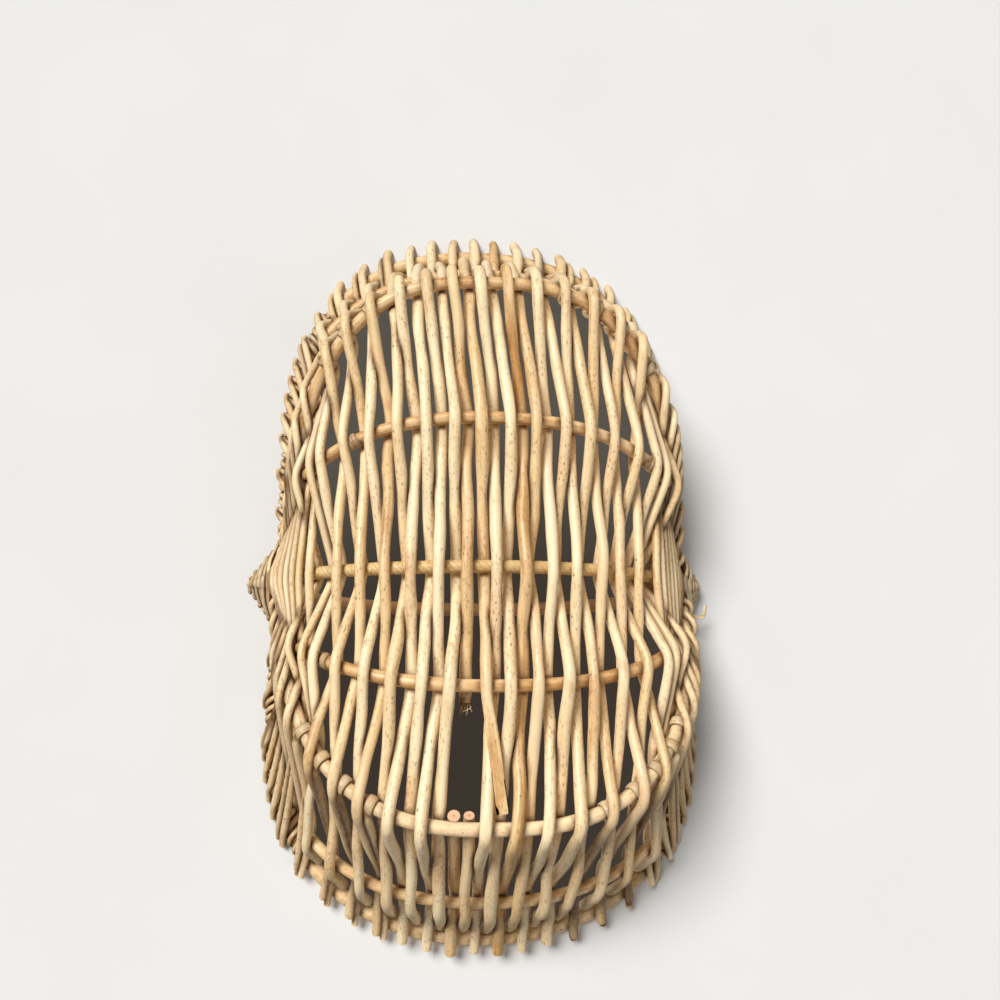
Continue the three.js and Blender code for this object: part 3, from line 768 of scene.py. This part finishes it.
ribStrands = []
for kind, end in (("wall", "Far"), ("bottom", "Far"), ("bottom", "Near"), ("wall", "Near")):
    first, last = (arcOn(ribs[kind + end], way * ribSet["lastRow"][kind]) for way in (-1, 1))
    ribStrands.append(ribStrand(kind + end, first - ribSet["past"][kind], last + ribSet["past"][kind]))
for name in ("endFar", "endNear"):
    stop = ribs[name]["half"] - ribSet["endStop"]
    ribStrands.append(ribStrand(name, -stop, stop))
ribPiece = layStrands("bentRibs", ribStrands, ribFinish, sides=14, uneven=0.2)
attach(ribPiece, "root")
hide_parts("wall_rib_far", "end_rib_far", "bottom_rib_far", "bottom_rib_near", "end_rib_near",
            "wall_rib_near")

rimSet = {"radius": 4.5, "shaved": 1.2, "shavedAt": -9, "shavedTo": (120, 190), "spacing": 3.0, "tone": 0.5}
rimLine = np.concatenate([ribs["rimFar"]["points"], ribs["rimNear"]["points"][::-1][1:]])
whole = smoothRise(np.abs(rimLine[:, 0] - rimSet["shavedAt"]), *rimSet["shavedTo"])
rimWorn = rimSet["radius"] - rimSet["shaved"] * (1 - whole)  # shaved where the sides wrap it
rimPath = evenSteps(rimLine, rimSet["spacing"])
rimRadii = np.interp(np.linspace(0, 1, len(rimPath)), np.linspace(0, 1, len(rimWorn)), rimWorn)
rimPiece = layStrands("rimHoop", [strand(rimPath, rimRadii, rimSet["tone"])], hoopFinish, sides=16, uneven=0.25)
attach(rimPiece, "root")
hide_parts("rim_hoop")

turn = np.linspace(0, math.pi, 401)
handleRise = basket["handleTop"] - rimHeight
handleY = hoopSpan * np.sign(np.cos(turn)) * np.abs(np.cos(turn)) ** basket["handleSquare"]
handleZ = rimHeight + handleRise * np.abs(np.sin(turn)) ** basket["handleSquare"]
handleLine = np.concatenate([hoop["points"], np.stack([handleY * 0, handleY, handleZ], 1)[1:]])
handlePath = evenSteps(handleLine, rimSet["spacing"])
fuller = smoothRise(handlePath[:, 2], rimHeight, (rimHeight + basket["handleTop"]) / 2)
handleRadii = basket["hoopCore"] + (basket["handleRadius"] - basket["hoopCore"]) * fuller
handleStrand = strand(handlePath, handleRadii, basket["handleTone"])
handlePiece = layStrands("handleHoop", [handleStrand], handleFinish, sides=18, uneven=0.3)
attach(handlePiece, "root")
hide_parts("handle_hoop")


# A twisted skein covers the hoop under the bowl
skeinSet = {
    "strands": 5, "pitch": 17.0, "reach": 128.0, "step": 1.7, "wide": 1.75, "flat": 0.32, "radius": 3.3,
    "sway": 0.12, "swayGrip": 25, "tone": (0.62, 0.1),
}
skeinStrands = []
arcs = np.arange(-skeinSet["reach"], skeinSet["reach"], skeinSet["step"])
skeinLine = pointOn(hoop, arcs)
skeinAhead = unitRows(np.gradient(skeinLine, axis=0))
lengthwise = np.array([1.0, 0.0, 0.0])
skeinThird = np.cross(skeinAhead, lengthwise)
for k in range(skeinSet["strands"]):
    sway = skeinSet["sway"] * softNoise(len(arcs), skeinSet["step"], skeinSet["swayGrip"])
    angle = 2 * math.pi * (k / skeinSet["strands"] + arcs / skeinSet["pitch"]) + sway
    spoke = spokesAt(lengthwise, skeinThird, angle)
    tone = dice.normal(*skeinSet["tone"])
    skeinStrands.append(strand(skeinLine + spoke * skeinSet["radius"], skeinSet["wide"], tone, spoke))
skeinPiece = layStrands("hoopSkein", skeinStrands, skeinFinish, sides=8, flatness=skeinSet["flat"], uneven=0.1)
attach(skeinPiece, "root")

# Flat turns round the ribs: rib, arc, turns, start angle, width, pitch
for ribName, *turns in (("bottomFar", -85.0, 1.6, 0.4, 2.4, 4.4), ("bottomFar", 104.0, 1.4, 0.9, 2.2, 4.2),
                        ("bottomNear", -101.0, 1.5, 0.3, 2.2, 4.2)):
    ribBand(ribs[ribName], *turns)
bandPiece = layStrands("ribBands", bandStrands, stripFinish, sides=8, flatness=stakeSet["bandFlat"], uneven=0.1)
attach(bandPiece, "root")


# Side weavers pack the two sides and wrap the rim between their rows
sideSet = {
    "firstRow": 107.8, "highRows": 7, "highFrom": 28.5, "highStep": 1.7, "highRadius": 1.95,
    "highThinning": 0.03, "highSoft": 2.0, "endFan": (32.0, 5.4), "rimFan": (35.0, 7.4), "spacing": 2.8,
    "knobbly": 0.05, "knobGrip": 25, "tail": 7.0, "farTail": (0.4, 1.1), "nearTail": (0.3, 0.7),
    "tone": (0.5, 0.1),
}
sideCrossed = ["rimFar", "endFar", "bottomFar", "hoop", "bottomNear", "endNear", "rimNear"]
lowSides = [-1, 1, -1, 1, -1, 1, -1]
highCrossed = ["rimFar", "endFar", "hoop", "endNear", "rimNear"]
highSides = [1, -1, 1, -1, 1]
# ribs crossed, their sides, side of the first row, rows, first place, step, radius, thinning, softness
lowerRows = (
    (sideCrossed, lowSides, -1, 3, sideSet["firstRow"], 5.7, 2.5, 0.1, 3.6),
    (highCrossed, highSides, 1, 9, 122.6, 3.1, 2.2, 0.02, sideSet["highSoft"]),
)
wrapSet = {
    "radius": 1.8, "core": 3.0, "step": 5.4, "starts": 3, "before": 3.0,
    "lastArc": {"rimFar": 292.0, "rimNear": 277.0}, "sway": 0.22, "knobbly": 0.09, "knobGrip": 14,
    "knobStep": 2.6, "swayStep": 2.4, "swayGrip": 12, "turnSteps": 16, "tone": (0.55, 0.08),
}


def sideRow(row, crossed, sides, outer, thick, soft, arcs=None):
    return crossings(row, crossed, [outer * side for side in sides], lambda place: thick, arcs), thick, soft


def tailEnd(knot, way, shares):
    if knot["side"] > 0:
        return pastEnd(knot, way, sideSet["tail"] * dice.uniform(*shares))
    return knot["centre"]


def rimWrap(rim, arcFrom, arcTo, turns, startAngle):
    steps = int(abs(turns) * wrapSet["turnSteps"]) + 2
    share = np.linspace(0, 1, steps)
    arcs = arcFrom + (arcTo - arcFrom) * share
    centre = pointOn(rim, arcs)
    out = np.cross(aheadOn(rim, arcs), up)
    out *= np.where((out * centre).sum(1) < 0, -1, 1)[:, None]
    sway = wrapSet["sway"] * softNoise(steps, wrapSet["swayStep"], wrapSet["swayGrip"])
    angle = startAngle + turns * 2 * math.pi * share + sway
    reach = wrapSet["core"] + wrapSet["radius"]
    return centre + out * (np.cos(angle) * reach)[:, None] + up * (np.sin(angle) * reach)[:, None]


sideStrands = []
wrapStrands = []
for side in (-1, 1):
    rows = []
    for crossed, sides, outer, count, place, step, radius, thinning, soft in lowerRows:
        for j in range(count):
            row = side * (place + step * j)
            rows.append(sideRow(row, crossed, sides, outer * (-1) ** j, radius - thinning * j, soft))
    for j in range(sideSet["highRows"]):  # rows close to a lashing fan out from it
        fan = sideSet["highStep"] * (sideSet["highRows"] - 1 - j)
        toEnd = sideSet["endFan"][0] + sideSet["endFan"][1] * fan
        toRim = sideSet["rimFan"][0] + sideSet["rimFan"][1] * fan
        away = [toRim, toEnd, sideSet["highFrom"] + fan, toEnd, toRim]
        arcs = [side * (ribs[name]["half"] - apart) for name, apart in zip(highCrossed, away)]
        thick = sideSet["highRadius"] - sideSet["highThinning"] * j
        rows.append(sideRow(0, highCrossed, highSides, -(-1) ** j, thick, sideSet["highSoft"], arcs))
    for knots, thick, soft in rows:
        farTail = tailEnd(knots[0], -1, sideSet["farTail"])
        nearTail = tailEnd(knots[-1], 1, sideSet["nearTail"])
        route = [farTail, knots[0]["centre"]]
        for knot in knots[1:-1]:
            route += stepsOver(knot)
        route += [knots[-1]["centre"], nearTail + up * 0.01]  # a hair higher, so the two never coincide
        eased = springy(route, soft, sideSet["spacing"])
        radii = thick * knobs(sideSet, len(eased), sideSet["spacing"])
        sideStrands.append(strand(eased, radii, dice.normal(*sideSet["tone"])))
    for rimName, lastArc in wrapSet["lastArc"].items():
        rim = ribs[rimName]
        first = arcOn(rim, side * (sideSet["firstRow"] - wrapSet["before"]))
        last = side * lastArc
        turns = side * abs(last - first) / (wrapSet["step"] * wrapSet["starts"])
        for k in range(wrapSet["starts"]):
            wrapped = rimWrap(rim, first, last, turns, 2 * math.pi * k / wrapSet["starts"])
            radii = wrapSet["radius"] * knobs(wrapSet, len(wrapped), wrapSet["knobStep"])
            wrapStrands.append(strand(wrapped, radii, dice.normal(*wrapSet["tone"])))
sidePiece = layStrands("sideWeavers", sideStrands, weaverFinish, sides=10, uneven=0.15)
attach(sidePiece, "root")
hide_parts("side_weaver_left_lower", "side_weaver_left_upper", "side_weaver_right_lower",
            "side_weaver_right_upper")
wrapPiece = layStrands("rimWraps", wrapStrands, weaverFinish, sides=10, uneven=0.15)
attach(wrapPiece, "root")


# Lashings: a diamond of flat split strips over each crossing of the hoops
lashingSet = {
    "along": 27.5, "up": 25.5, "round": 1.15, "peak": 0.015, "sweep": (-9, 99, 17), "rings": 6,
    "ringStart": 0.7, "underBack": 0.5, "ringSpare": 0.1, "ringScatter": 0.014, "inward": 0.05,
    "innermost": 0.01, "outermost": 0.985, "wide": 1.9, "wideRange": (0.82, 1.08), "flat": 0.5,
    "tone": (0.3, 0.17), "lift": (-0.2, 1.3), "underLift": -1.4, "underWide": 1.3, "underTone": 1.1,
    "ridge": 0.6, "ridgeWide": 9, "hoopOut": 4.2, "rimOut": 4.6, "build": {-1: 11.5, 1: 5.5}, "buildIn": 3.0,
}


def lensPoint(side, face, angle, share):  # face 1 is away from the bowl
    power = lashingSet["round"]
    alongPart = np.abs(np.cos(angle)) / lashingSet["along"]
    upPart = np.abs(np.sin(angle)) / lashingSet["up"]
    reach = share / (alongPart ** power + upPart ** power) ** (1 / power)
    x, z = reach * np.cos(angle), reach * np.sin(angle)
    sideLine = hoop["points"][hoop["points"][:, 1] * side > 0]
    sideLine = sideLine[np.argsort(sideLine[:, 2])]
    proud = np.interp(rimHeight + z, sideLine[:, 2], np.abs(sideLine[:, 1])) + face * lashingSet["hoopOut"]
    low = face * lashingSet["rimOut"] + rimSpan
    if face > 0:  # outside, the strips stretch over the handle hoop; inside, over the rim
        tent = 1 - np.sqrt((x / lashingSet["along"]) ** 2 + lashingSet["peak"])
        deep = low + (proud - low) * np.clip(tent, 0, 1)
    else:
        tent = 1 - np.sqrt((z / lashingSet["up"]) ** 2 + lashingSet["peak"])
        deep = proud + (low - proud) * np.clip(tent, 0, 1)
    deep = deep + (lashingSet["build"][side] if face > 0 else -lashingSet["buildIn"]) * (1 - share)
    return np.stack([x, side * deep, rimHeight + z], -1)


lashingStrands = []
sweep = np.linspace(*lashingSet["sweep"])  # a quarter turn and a little more at each end
ridge = sum(np.exp(-((sweep - corner) / lashingSet["ridgeWide"]) ** 2) for corner in (0, 90))
for side, face, ring, quarter, under in product((-1, 1), (-1, 1), range(lashingSet["rings"]), range(4), (0, 1)):
    place = ring + lashingSet["ringStart"] - lashingSet["underBack"] * under
    share = place / (lashingSet["rings"] - lashingSet["ringSpare"])
    share = min(share + dice.normal(0, lashingSet["ringScatter"]) * (1 - under), lashingSet["outermost"])
    angle = np.radians(90 * quarter + sweep)
    points = lensPoint(side, face, angle, share)
    inner = lensPoint(side, face, angle, max(share - lashingSet["inward"], lashingSet["innermost"]))
    outward = np.cross(np.gradient(points, axis=0), inner - points)
    outward = unitRows(outward * np.sign(outward[:, 1] * face * side)[:, None])
    lift = lashingSet["underLift"] if under else dice.uniform(*lashingSet["lift"])
    points = points + outward * (lift + lashingSet["ridge"] * ridge)[:, None]
    wide = lashingSet["wide"] * (lashingSet["underWide"] if under else dice.uniform(*lashingSet["wideRange"]))
    # the under layer of strips has a much darker tone: painted shade in the slits between the strips above it
    tone = lashingSet["underTone"] if under else dice.normal(*lashingSet["tone"])
    lashingStrands.append(strand(points, wide, tone, outward))

# One strip end has worked loose on the right
looseSet = {
    "angle": 205,
    "share": 0.86,
    "steps": 22,
    "lead": np.array([-8.0, 7.5, -4.0]),
    "sag": np.array([4.0, 4.0, -5.0]),
    "hook": np.array([7.5, -1.5, 1.0]),
    "hookSteps": 6,
    "hookBend": 1.5,
    "faceOut": np.array([0.3, 0.45, -0.84]),
    "wide": 1.5,
    "tone": 0.4,
}
looseRoot = lensPoint(1, 1, math.radians(looseSet["angle"]), looseSet["share"])
share = np.linspace(0, 1, looseSet["steps"])[:, None]
looseLine = looseRoot + share * looseSet["lead"] + share ** 2 * looseSet["sag"]
hookShare = np.linspace(0, 1, looseSet["hookSteps"])[:, None]
looseLine[-looseSet["hookSteps"]:] += hookShare ** looseSet["hookBend"] * looseSet["hook"]
looseOut = np.tile(unit(looseSet["faceOut"]), (looseSet["steps"], 1))
lashingStrands.append(strand(looseLine, looseSet["wide"], looseSet["tone"], looseOut))
lashingPiece = layStrands("lashingStrips", lashingStrands, stripFinish, sides=8, flatness=lashingSet["flat"],
                          uneven=0.1)
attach(lashingPiece, "root")
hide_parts("lashing_left", "lashing_right")


# Painted contact shade: rods are darker along the lines where they touch
creaseSet = {"touch": 0.0, "clear": 3.5, "near": 16}


def markCreases():
    every = [(one, flatness) for mesh, strands, flatness in laidStrands for one in strands]
    spots = (np.concatenate([one["points"] for one, flatness in every]) + planShift) / 1000
    thick = (np.concatenate([one["radii"] * flatness for one, flatness in every]) / 1000).tolist()
    owner = np.concatenate([np.full(len(one["points"]), one["seed"]) for one, flatness in every]).tolist()
    near = KDTree(len(spots))
    for k, spot in enumerate(spots.tolist()):
        near.insert(spot, k)
    near.balance()
    for mesh, strands, flatness in laidStrands:
        count = len(mesh.vertices)
        places = np.zeros(count * 3, np.float32)
        mesh.vertices.foreach_get("co", places)
        seeds = np.zeros(count, np.float32)
        mesh.attributes["rodSeed"].data.foreach_get("value", seeds)
        clear = []
        for place, seed in zip(places.reshape(-1, 3).tolist(), seeds.tolist()):
            found = near.find_n(place, creaseSet["near"])
            others = [apart - thick[k] for spot, k, apart in found if abs(owner[k] - seed) > 1e-6]
            clear.append(min(others, default=1.0))
        crease = 1 - smoothRise(np.array(clear) * 1000, creaseSet["touch"], creaseSet["clear"])
        mesh.attributes.new("crease", "FLOAT", "POINT").data.foreach_set("value", crease.astype(np.float32))
    print("creases marked", len(spots), "path points")


markCreases()

# Studio
studio = {
    "paper": (0.66, 0.655, 0.64, 1),
    "paperShade": (0.62, 0.615, 0.60, 1),
    "fibre": 9.0,
    "fade": (0.7, 2.6),
    "sheetHalf": 4.0,
    "sheetLow": -0.0004,
    "sheetHigh": 0.1185,
    # both gap colours are painted shade for the ground seen through the weave
    "shadeGap": (0.046, 0.036, 0.028, 1),
    "paleGap": (0.098, 0.088, 0.072, 1),
    "gapFrom": (0.945, 0.995),
    "gapLean": (0.03, 0.24),
    "steepFrom": (0.60, 0.70),
    "airTint": (1.0, 0.95, 0.88, 1),
    "air": 0.09,
    "key": (4.25, 26, True),  # strength, spread in degrees, seen in gloss
    "keyFrom": (0.8, 0.6, -0.38),  # toward the camera, up and to the right in the picture
    "fill": (0.66, 60, False),
    "fillFrom": (0.9, -0.35, 0.6),
    "top": (2.6, 40, False),
    "topFrom": (-0.35, -0.45, 1.15),  # in the frame
    "mouthStep": 8.0,
    "sensor": 36.0,
    "focal": 0.939,  # in picture widths
}
lookFrom = Vector(((planShift + np.array([-72.13, -46.67, -515.95])) / 1000).tolist())
lookAlong = Vector((0.2047, 0.0912, 0.9746)).normalized()
lookUp = Vector((0.9788, -0.0163, -0.2041))
lookRight = lookAlong.cross(lookUp).normalized()
lookUp = lookRight.cross(lookAlong).normalized()

camera = bpy.data.objects.new("camera", bpy.data.cameras.new("camera"))
camera.data.sensor_width = studio["sensor"]
camera.data.lens = studio["sensor"] * studio["focal"]
camera.data.clip_start = 0.01
lookTurn = Matrix((lookRight, lookUp, -lookAlong)).transposed().to_4x4()
camera.matrix_world = Matrix.Translation(lookFrom) @ lookTurn
scene.collection.objects.link(camera)
scene.camera = camera


def softSun(name, toward, strength, angle, gloss):
    lamp = bpy.data.objects.new(name, bpy.data.lights.new(name, "SUN"))
    lamp.data.energy = strength
    lamp.data.angle = math.radians(angle)
    lamp.location = toward * 2
    lamp.rotation_mode = "QUATERNION"
    lamp.rotation_quaternion = (-toward).to_track_quat("-Z", "Y")
    lamp.visible_glossy = gloss
    scene.collection.objects.link(lamp)


def inPicture(back, rise, right):
    return -lookAlong * back + lookUp * rise + lookRight * right


softSun("keyLamp", inPicture(*studio["keyFrom"]), *studio["key"])
softSun("fillLamp", inPicture(*studio["fillFrom"]), *studio["fill"])
softSun("topLamp", Vector(studio["topFrom"]), *studio["top"])


# Painted shade: looking steeply up, through the weave, the backdrop is painted dark like shaded ground, darkest
# by the middle of the near half
def airTree():
    world = bpy.data.worlds.new("studioAir")
    scene.world = world
    world.use_nodes = True
    tree = world.node_tree
    tree.nodes.clear()
    make = partial(outOf, tree)
    toward = make("ShaderNodeTexCoord", pick="Generated")
    height = make("ShaderNodeSeparateXYZ", {0: toward}, 2)
    left, down = studio["gapLean"]
    darkest = (lookAlong - lookRight * left - lookUp * down).normalized()
    nearDarkest = make("ShaderNodeVectorMath", {0: toward, 1: darkest}, "Value", operation="DOT_PRODUCT")
    inShade = rampNode(tree, nearDarkest, studio["gapFrom"])
    gapTint = mixNode(tree, inShade, studio["paleGap"], studio["shadeGap"])
    tint = mixNode(tree, rampNode(tree, height, studio["steepFrom"]), studio["paper"], gapTint)
    seen = make("ShaderNodeBackground", {"Color": tint})
    lit = make("ShaderNodeBackground", {"Color": studio["airTint"], "Strength": studio["air"]})
    rays = addNode(tree, "ShaderNodeLightPath").outputs
    seenRay = mathNode(tree, "MAXIMUM", rays["Is Camera Ray"], rays["Is Transmission Ray"])
    seenRay = mathNode(tree, "MAXIMUM", seenRay, rays["Is Glossy Ray"])
    mixed = make("ShaderNodeMixShader", {0: seenRay, 1: lit, 2: seen})
    addNode(tree, "ShaderNodeOutputWorld", {"Surface": mixed})


airTree()


def paperFinish(name):
    material = bpy.data.materials.new(name)
    material.use_nodes = True
    tree = material.node_tree
    tree.nodes.clear()
    make = partial(outOf, tree)
    place = make("ShaderNodeTexCoord", pick="Object")
    fibre = make("ShaderNodeTexNoise", {"Vector": place, "Scale": studio["fibre"]})
    tint = mixNode(tree, fibre, studio["paper"], studio["paperShade"])
    paper = make("ShaderNodeBsdfDiffuse", {"Color": tint})
    clear = make("ShaderNodeBsdfTransparent")
    distance = make("ShaderNodeVectorMath", {0: place}, "Value", operation="LENGTH")
    fade = rampNode(tree, distance, studio["fade"])  # the sheet melts into the backdrop
    unseen = mathNode(tree, "MAXIMUM", make("ShaderNodeNewGeometry", pick="Backfacing"), fade)
    mixed = make("ShaderNodeMixShader", {0: unseen, 1: paper, 2: clear})
    addNode(tree, "ShaderNodeOutputMaterial", {"Surface": mixed})
    return material


def paperSheet(name, corners, faces):
    mesh = bpy.data.meshes.new(name)
    mesh.from_pydata(corners, [], faces)
    mesh.materials.append(paperFinish(name + "Paper"))
    sheet = bpy.data.objects.new(name, mesh)
    scene.collection.objects.link(sheet)
    for ray in ("shadow", "diffuse", "glossy", "transmission"):
        setattr(sheet, "visible_" + ray, False)
    return sheet


# Seen from above, the basket stands on one sheet; from below, it lies mouth down on the other, open there
half = studio["sheetHalf"]
square = ((-half, -half), (half, -half), (half, half), (-half, half))
paperSheet("sheetUnder", [(x, y, studio["sheetLow"]) for x, y in square], [(0, 1, 2, 3)])
mouth = evenSteps(rimLine, studio["mouthStep"])[:-1] + planShift
outerRing = mouth * half * 1000 / np.linalg.norm(mouth[:, :2], axis=1)[:, None]
ring = [(x / 1000, y / 1000, studio["sheetHigh"]) for x, y, z in np.concatenate([mouth, outerRing])]
count = len(mouth)
quads = [(k, (k + 1) % count, count + (k + 1) % count, count + k) for k in range(count)]
upper = paperSheet("sheetMouth", ring, quads)
if upper.data.polygons[0].normal.z > 0:
    upper.data.flip_normals()
print("studio ready")
